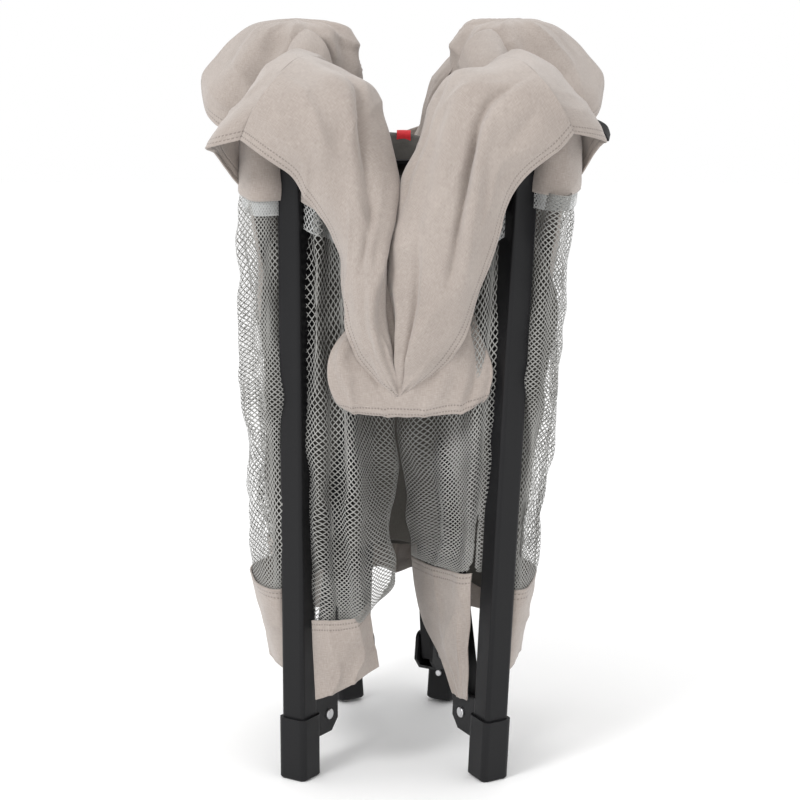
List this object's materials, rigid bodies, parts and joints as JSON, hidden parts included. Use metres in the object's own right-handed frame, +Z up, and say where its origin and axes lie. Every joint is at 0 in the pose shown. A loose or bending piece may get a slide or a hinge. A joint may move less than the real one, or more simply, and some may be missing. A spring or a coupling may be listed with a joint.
{
  "type": "travel play yard",
  "caption": "Folding travel play yard with padded cloth rails and net walls, shown folded upright on its feet.",
  "frame": {"origin": "centre of the folded footprint on the floor", "axes": "+Z up, the short side faces -Y, the long side runs along Y when unfolded"},
  "size_m": [0.4096, 0.5448, 0.7344],
  "materials": {
    "frame_black": "satin black powder coat",
    "moulding_black": "fine matt grain",
    "rivet_steel": "zinc plated",
    "button_grey": "fine matt grain",
    "cloth_taupe": "plain woven, slightly mottled",
    "floor_grey": "plain woven",
    "tab_red": "woven webbing"
  },
  "bodies": {
    "post_front_left": {"post_front_left": "frame_black", "foot_front_left": "moulding_black", "foot_fasteners_front_left": "rivet_steel", "corner_cap_front_left": "moulding_black", "rail_pins_front_left": "rivet_steel", "corner_cloth_front_left": "cloth_taupe"},
    "strut_front_left": {"strut_front_left": "frame_black"},
    "post_front_right": {"post_front_right": "frame_black", "foot_front_right": "moulding_black", "foot_fasteners_front_right": "rivet_steel", "corner_cap_front_right": "moulding_black", "rail_pins_front_right": "rivet_steel", "corner_cloth_front_right": "cloth_taupe"},
    "strut_front_right": {"strut_front_right": "frame_black"},
    "post_back_left": {"post_back_left": "frame_black", "foot_back_left": "moulding_black", "foot_fasteners_back_left": "rivet_steel", "corner_cap_back_left": "moulding_black", "rail_pins_back_left": "rivet_steel", "corner_cloth_back_left": "cloth_taupe"},
    "strut_back_left": {"strut_back_left": "frame_black"},
    "post_back_right": {"post_back_right": "frame_black", "foot_back_right": "moulding_black", "foot_fasteners_back_right": "rivet_steel", "corner_cap_back_right": "moulding_black", "rail_pins_back_right": "rivet_steel", "corner_cloth_back_right": "cloth_taupe"},
    "strut_back_right": {"strut_back_right": "frame_black"},
    "hub": {"hub": "moulding_black", "hub_pins": "rivet_steel", "floor_cloth": "floor_grey", "pull_tab": "tab_red"},
    "rail_front_left": {"rail_front_left": "frame_black", "rail_cover_front_left": "cloth_taupe"},
    "rail_front_right": {"rail_front_right": "frame_black", "rail_cover_front_right": "cloth_taupe"},
    "lock_front": {"lock_front": "moulding_black", "lock_pin_front": "rivet_steel"},
    "button_front": {"lock_button_front": "button_grey"},
    "rail_back_left": {"rail_back_left": "frame_black", "rail_cover_back_left": "cloth_taupe"},
    "rail_back_right": {"rail_back_right": "frame_black", "rail_cover_back_right": "cloth_taupe"},
    "lock_back": {"lock_back": "moulding_black", "lock_pin_back": "rivet_steel"},
    "button_back": {"lock_button_back": "button_grey"},
    "rail_left_front": {"rail_left_front": "frame_black", "rail_cover_left_front": "cloth_taupe"},
    "rail_left_back": {"rail_left_back": "frame_black", "rail_cover_left_back": "cloth_taupe"},
    "lock_left": {"lock_left": "moulding_black", "lock_pin_left": "rivet_steel"},
    "button_left": {"lock_button_left": "button_grey"},
    "rail_right_front": {"rail_right_front": "frame_black", "rail_cover_right_front": "cloth_taupe"},
    "rail_right_back": {"rail_right_back": "frame_black", "rail_cover_right_back": "cloth_taupe"},
    "lock_right": {"lock_right": "moulding_black", "lock_pin_right": "rivet_steel"},
    "button_right": {"lock_button_right": "button_grey"}
  },
  "joints": [
    {"name": "fold", "type": "hinge", "parent": "post_front_left", "child": "strut_front_left", "pos_m": [-0.08649, -0.10162, 0.057], "axis": [-0.848, 0.5299, 0], "range_deg": [0, 78.4]},
    {"name": "hub_level", "type": "hinge", "parent": "strut_front_left", "child": "hub", "pos_m": [-0.03002, -0.01124, 0.57617], "axis": [-0.848, 0.5299, 0], "range_deg": [-78.41, 0]},
    {"name": "strut_fold_front_right", "type": "hinge", "parent": "hub", "child": "strut_front_right", "pos_m": [0.00708, -0.01124, 0.57868], "axis": [-0.848, -0.5299, 0], "range_deg": [0, 77.54]},
    {"name": "post_swing_front_right", "type": "hinge", "parent": "strut_front_right", "child": "post_front_right", "pos_m": [0.06643, -0.10623, 0.06065], "axis": [-0.848, -0.5299, 0], "range_deg": [-73.04, 0]},
    {"name": "strut_fold_back_left", "type": "hinge", "parent": "hub", "child": "strut_back_left", "pos_m": [-0.03002, 0.04812, 0.59102], "axis": [0.848, 0.5299, 0], "range_deg": [0, 84.1]},
    {"name": "post_swing_back_left", "type": "hinge", "parent": "strut_back_left", "child": "post_back_left", "pos_m": [-0.05108, 0.08182, 0.06252], "axis": [0.848, 0.5299, 0], "range_deg": [-77.1, 0]},
    {"name": "strut_fold_back_right", "type": "hinge", "parent": "hub", "child": "strut_back_right", "pos_m": [0.00708, 0.04812, 0.59102], "axis": [0.848, -0.5299, 0], "range_deg": [0, 84.1]},
    {"name": "post_swing_back_right", "type": "hinge", "parent": "strut_back_right", "child": "post_back_right", "pos_m": [0.02814, 0.08182, 0.06252], "axis": [0.848, -0.5299, 0], "range_deg": [-77.1, 0]},
    {"name": "rail_fold_front_left", "type": "hinge", "parent": "post_front_left", "child": "rail_front_left", "pos_m": [-0.07104, -0.1313, 0.686], "axis": [0, 0.9955, -0.0946], "range_deg": [-79.83, 0]},
    {"name": "lock_level_front", "type": "hinge", "parent": "rail_front_left", "child": "lock_front", "pos_m": [-0.02613, -0.15495, 0.43717], "axis": [0, 0.9955, -0.0946], "range_deg": [0, 79.83]},
    {"name": "rail_fold_front_right", "type": "hinge", "parent": "post_front_right", "child": "rail_front_right", "pos_m": [0.0771, -0.17772, 0.68638], "axis": [-0.0024, -0.9959, -0.0906], "range_deg": [-82.59, 0]},
    {"name": "button_press_front", "type": "slide", "parent": "lock_front", "child": "button_front", "axis": [0, 0.0946, 0.9955], "range_m": [0, 0.005], "stiffness_N_per_m": 600},
    {"name": "rail_fold_back_left", "type": "hinge", "parent": "post_back_left", "child": "rail_back_left", "pos_m": [-0.07618, 0.1764, 0.68476], "axis": [-0.0033, 1, -0.0005], "range_deg": [-89.02, 0]},
    {"name": "lock_level_back", "type": "hinge", "parent": "rail_back_left", "child": "lock_back", "pos_m": [-0.0554, 0.17634, 0.43166], "axis": [-0.0033, 1, -0.0005], "range_deg": [0, 89.02]},
    {"name": "rail_fold_back_right", "type": "hinge", "parent": "post_back_right", "child": "rail_back_right", "pos_m": [0.05324, 0.1764, 0.68476], "axis": [-0.0034, -1, 0.0001], "range_deg": [-82.64, 0]},
    {"name": "button_press_back", "type": "slide", "parent": "lock_back", "child": "button_back", "axis": [-0.0646, 0.0003, 0.9979], "range_m": [0, 0.005], "stiffness_N_per_m": 600},
    {"name": "rail_fold_left_front", "type": "hinge", "parent": "post_front_left", "child": "rail_left_front", "pos_m": [-0.10504, -0.0973, 0.686], "axis": [-1, 0, 0.006], "range_deg": [-78.33, 0]},
    {"name": "lock_level_left", "type": "hinge", "parent": "rail_left_front", "child": "lock_left", "pos_m": [-0.10763, -0.00723, 0.25039], "axis": [-1, 0, 0.006], "range_deg": [0, 78.33]},
    {"name": "rail_fold_left_back", "type": "hinge", "parent": "post_back_left", "child": "rail_left_back", "pos_m": [-0.11022, 0.14247, 0.68608], "axis": [1, -0.0027, 0.0065], "range_deg": [-84.31, 0]},
    {"name": "button_press_left", "type": "slide", "parent": "lock_left", "child": "button_left", "axis": [0.006, 0, 1], "range_m": [0, 0.005], "stiffness_N_per_m": 600},
    {"name": "rail_fold_right_front", "type": "hinge", "parent": "post_front_right", "child": "rail_right_front", "pos_m": [0.11112, -0.14375, 0.68723], "axis": [-0.9997, -0.0003, 0.0252], "range_deg": [-80.37, 0]},
    {"name": "lock_level_right", "type": "hinge", "parent": "rail_right_front", "child": "lock_right", "pos_m": [0.10018, -0.04023, 0.25475], "axis": [-0.9997, -0.0003, 0.0252], "range_deg": [0, 80.37]},
    {"name": "rail_fold_right_back", "type": "hinge", "parent": "post_back_right", "child": "rail_right_back", "pos_m": [0.08728, 0.14247, 0.68608], "axis": [0.9996, 0.0063, 0.0285], "range_deg": [-79.9, 0]},
    {"name": "button_press_right", "type": "slide", "parent": "lock_right", "child": "button_right", "axis": [0.0252, -0.0666, 0.9975], "range_m": [0, 0.005], "stiffness_N_per_m": 600}
  ],
  "couplings": [
    {"joint": "hub_level", "follows": "fold", "ratio": -1},
    {"joint": "strut_fold_front_right", "follows": "fold", "ratio": 0.98889},
    {"joint": "post_swing_front_right", "follows": "fold", "ratio": -0.9315},
    {"joint": "strut_fold_back_left", "follows": "fold", "ratio": 1.0726},
    {"joint": "post_swing_back_left", "follows": "fold", "ratio": -0.98335},
    {"joint": "strut_fold_back_right", "follows": "fold", "ratio": 1.0726},
    {"joint": "post_swing_back_right", "follows": "fold", "ratio": -0.98335},
    {"joint": "rail_fold_front_left", "follows": "fold", "ratio": -1.018},
    {"joint": "lock_level_front", "follows": "fold", "ratio": 1.018},
    {"joint": "rail_fold_front_right", "follows": "fold", "ratio": -1.0533},
    {"joint": "rail_fold_back_left", "follows": "fold", "ratio": -1.1353},
    {"joint": "lock_level_back", "follows": "fold", "ratio": 1.1353},
    {"joint": "rail_fold_back_right", "follows": "fold", "ratio": -1.054},
    {"joint": "rail_fold_left_front", "follows": "fold", "ratio": -0.99895},
    {"joint": "lock_level_left", "follows": "fold", "ratio": 0.99895},
    {"joint": "rail_fold_left_back", "follows": "fold", "ratio": -1.0752},
    {"joint": "rail_fold_right_front", "follows": "fold", "ratio": -1.025},
    {"joint": "lock_level_right", "follows": "fold", "ratio": 1.025},
    {"joint": "rail_fold_right_back", "follows": "fold", "ratio": -1.0191}
  ]
}
